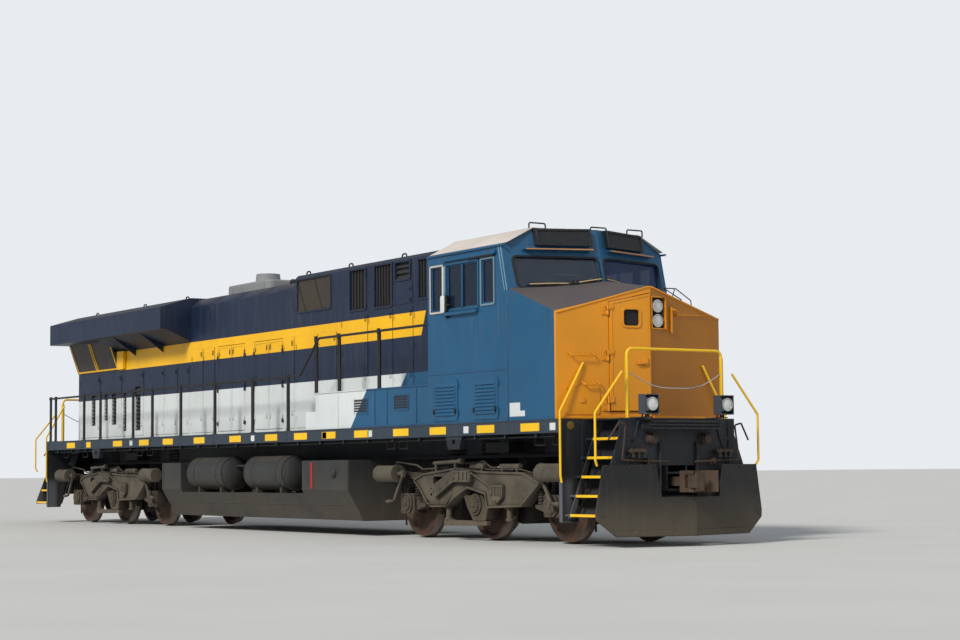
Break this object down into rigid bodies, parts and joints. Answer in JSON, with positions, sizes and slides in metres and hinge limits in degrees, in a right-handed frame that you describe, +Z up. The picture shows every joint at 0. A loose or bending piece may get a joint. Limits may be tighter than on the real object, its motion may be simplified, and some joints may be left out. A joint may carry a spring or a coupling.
{
  "type": "diesel locomotive",
  "caption": "Wide-cab road diesel locomotive on two trucks, with swinging trucks, couplers, knuckles and doors, and free-running wheelsets.",
  "frame": {"origin": "on the centre line midway between the coupler faces, level with the tips of the wheel flanges", "axes": "+X forward to the cab end, +Y to the left side, +Z up"},
  "size_m": [22.3, 3.126, 4.948],
  "materials": {
    "board_black": "matte, blank",
    "cab_blue": "semi-gloss",
    "coupler_iron": "rusty",
    "desk_grey": "matte",
    "engine_grey": "painted",
    "frame_slate": "matte, dusty",
    "grille_dark": "matte",
    "hood_navy": "semi-gloss, with yellow stripe and white band",
    "horn_dark": "painted, matte",
    "lamp_glass": "ribbed lens",
    "nose_yellow": "semi-gloss",
    "plow_black": "matte, scuffed",
    "rail_black": "matte",
    "roof_pale": "matte",
    "seat_vinyl": "matte",
    "silencer_grey": "matte",
    "step_yellow": "worn",
    "tank_grey": "matte, dusty low down",
    "truck_iron": "dusty",
    "wheel_steel": "rusty web, bright tread",
    "window_glass": "smooth, tinted"
  },
  "bodies": {
    "chassis": {"air_reservoirs": "tank_grey", "aux_hood": "hood_navy", "cab_glass": "window_glass", "cab_roof": "roof_pale", "cab_seats": "seat_vinyl", "cab_shell": "cab_blue", "cab_trim": "cab_blue", "control_desk": "desk_grey", "end_gear": "coupler_iron", "end_railings": "rail_black", "engine_block": "engine_grey", "engine_hood": "hood_navy", "front_end": "frame_slate", "front_plow": "plow_black", "fuel_tank": "tank_grey", "hood_fittings": "grille_dark", "hood_panels": "hood_navy", "horn": "horn_dark", "intake_grilles": "grille_dark", "lamps": "lamp_glass", "nose_shell": "nose_yellow", "number_boards": "board_black", "radiator_cab": "hood_navy", "railing_left": "rail_black", "railing_right": "rail_black", "rear_end": "frame_slate", "side_boxes": "hood_navy", "silencer": "silencer_grey", "step_rails": "step_yellow", "underframe": "frame_slate"},
    "front_truck": {"front_truck_axle_boxes": "truck_iron", "front_truck_brakes": "truck_iron", "front_truck_frame": "truck_iron", "front_truck_motors": "truck_iron"},
    "front_wheelset_1": {"front_wheelset_1": "wheel_steel"},
    "front_wheelset_2": {"front_wheelset_2": "wheel_steel"},
    "front_wheelset_3": {"front_wheelset_3": "wheel_steel"},
    "front_coupler": {"front_coupler": "coupler_iron"},
    "front_knuckle": {"front_knuckle": "coupler_iron"},
    "rear_truck": {"rear_truck_axle_boxes": "truck_iron", "rear_truck_brakes": "truck_iron", "rear_truck_frame": "truck_iron", "rear_truck_motors": "truck_iron"},
    "rear_wheelset_1": {"rear_wheelset_1": "wheel_steel"},
    "rear_wheelset_2": {"rear_wheelset_2": "wheel_steel"},
    "rear_wheelset_3": {"rear_wheelset_3": "wheel_steel"},
    "rear_coupler": {"rear_coupler": "coupler_iron"},
    "rear_knuckle": {"rear_knuckle": "coupler_iron"},
    "nose_door": {"nose_door": "nose_yellow"},
    "cab_door_left": {"cab_door_left": "cab_blue"},
    "cab_door_right": {"cab_door_right": "cab_blue"},
    "hood_door_right_1_rear": {"hood_door_right_1_rear": "hood_navy"},
    "hood_door_right_1_front": {"hood_door_right_1_front": "hood_navy"},
    "hood_door_right_2_rear": {"hood_door_right_2_rear": "hood_navy"},
    "hood_door_right_2_front": {"hood_door_right_2_front": "hood_navy"},
    "hood_door_left_1_rear": {"hood_door_left_1_rear": "hood_navy"},
    "hood_door_left_1_front": {"hood_door_left_1_front": "hood_navy"},
    "hood_door_left_2_rear": {"hood_door_left_2_rear": "hood_navy"},
    "hood_door_left_2_front": {"hood_door_left_2_front": "hood_navy"}
  },
  "joints": [
    {"name": "front_truck_yaw", "type": "hinge", "parent": "chassis", "child": "front_truck", "pos_m": [7.016, 0, 1.05], "axis": [0, 0, 1], "range_deg": [-5, 5]},
    {"name": "front_wheelset_1_spin", "type": "hinge", "parent": "front_truck", "child": "front_wheelset_1", "pos_m": [9.024, 0, 0.561], "axis": [0, 1, 0], "continuous": true},
    {"name": "front_wheelset_2_spin", "type": "hinge", "parent": "front_truck", "child": "front_wheelset_2", "pos_m": [7.016, 0, 0.561], "axis": [0, 1, 0], "continuous": true},
    {"name": "front_wheelset_3_spin", "type": "hinge", "parent": "front_truck", "child": "front_wheelset_3", "pos_m": [5.008, 0, 0.561], "axis": [0, 1, 0], "continuous": true},
    {"name": "front_coupler_swing", "type": "hinge", "parent": "chassis", "child": "front_coupler", "pos_m": [10.05, 0, 0.904], "axis": [0, 0, 1], "range_deg": [-8, 8]},
    {"name": "front_knuckle_open", "type": "hinge", "parent": "front_coupler", "child": "front_knuckle", "pos_m": [11.02, -0.135, 0.904], "axis": [0, 0, -1], "range_deg": [0, 50]},
    {"name": "rear_truck_yaw", "type": "hinge", "parent": "chassis", "child": "rear_truck", "pos_m": [-7.016, 0, 1.05], "axis": [0, 0, 1], "range_deg": [-5, 5]},
    {"name": "rear_wheelset_1_spin", "type": "hinge", "parent": "rear_truck", "child": "rear_wheelset_1", "pos_m": [-5.008, 0, 0.561], "axis": [0, 1, 0], "continuous": true},
    {"name": "rear_wheelset_2_spin", "type": "hinge", "parent": "rear_truck", "child": "rear_wheelset_2", "pos_m": [-7.016, 0, 0.561], "axis": [0, 1, 0], "continuous": true},
    {"name": "rear_wheelset_3_spin", "type": "hinge", "parent": "rear_truck", "child": "rear_wheelset_3", "pos_m": [-9.024, 0, 0.561], "axis": [0, 1, 0], "continuous": true},
    {"name": "rear_coupler_swing", "type": "hinge", "parent": "chassis", "child": "rear_coupler", "pos_m": [-10.05, 0, 0.904], "axis": [0, 0, 1], "range_deg": [-8, 8]},
    {"name": "rear_knuckle_open", "type": "hinge", "parent": "rear_coupler", "child": "rear_knuckle", "pos_m": [-11.02, 0.135, 0.904], "axis": [0, 0, -1], "range_deg": [0, 50]},
    {"name": "nose_door_swing", "type": "hinge", "parent": "chassis", "child": "nose_door", "pos_m": [9.89, -0.702, 2.7], "axis": [0, 0, -1], "range_deg": [0, 45]},
    {"name": "cab_door_left_swing", "type": "hinge", "parent": "chassis", "child": "cab_door_left", "pos_m": [6.296, 0.905, 3.4], "axis": [0, 0, 1], "range_deg": [0, 90]},
    {"name": "cab_door_right_swing", "type": "hinge", "parent": "chassis", "child": "cab_door_right", "pos_m": [6.296, -0.905, 3.4], "axis": [0, 0, -1], "range_deg": [0, 90]},
    {"name": "hood_door_right_1_rear_swing", "type": "hinge", "parent": "chassis", "child": "hood_door_right_1_rear", "pos_m": [-2.418, -0.888, 2.7], "axis": [0, 0, -1], "range_deg": [0, 100]},
    {"name": "hood_door_right_1_front_swing", "type": "hinge", "parent": "chassis", "child": "hood_door_right_1_front", "pos_m": [-1.282, -0.888, 2.7], "axis": [0, 0, 1], "range_deg": [0, 100]},
    {"name": "hood_door_right_2_rear_swing", "type": "hinge", "parent": "chassis", "child": "hood_door_right_2_rear", "pos_m": [-0.875, -0.888, 2.7], "axis": [0, 0, -1], "range_deg": [0, 100]},
    {"name": "hood_door_right_2_front_swing", "type": "hinge", "parent": "chassis", "child": "hood_door_right_2_front", "pos_m": [0.261, -0.888, 2.7], "axis": [0, 0, 1], "range_deg": [0, 100]},
    {"name": "hood_door_left_1_rear_swing", "type": "hinge", "parent": "chassis", "child": "hood_door_left_1_rear", "pos_m": [-2.418, 0.888, 2.7], "axis": [0, 0, 1], "range_deg": [0, 100]},
    {"name": "hood_door_left_1_front_swing", "type": "hinge", "parent": "chassis", "child": "hood_door_left_1_front", "pos_m": [-1.282, 0.888, 2.7], "axis": [0, 0, -1], "range_deg": [0, 100]},
    {"name": "hood_door_left_2_rear_swing", "type": "hinge", "parent": "chassis", "child": "hood_door_left_2_rear", "pos_m": [-0.875, 0.888, 2.7], "axis": [0, 0, 1], "range_deg": [0, 100]},
    {"name": "hood_door_left_2_front_swing", "type": "hinge", "parent": "chassis", "child": "hood_door_left_2_front", "pos_m": [0.261, 0.888, 2.7], "axis": [0, 0, -1], "range_deg": [0, 100]}
  ]
}
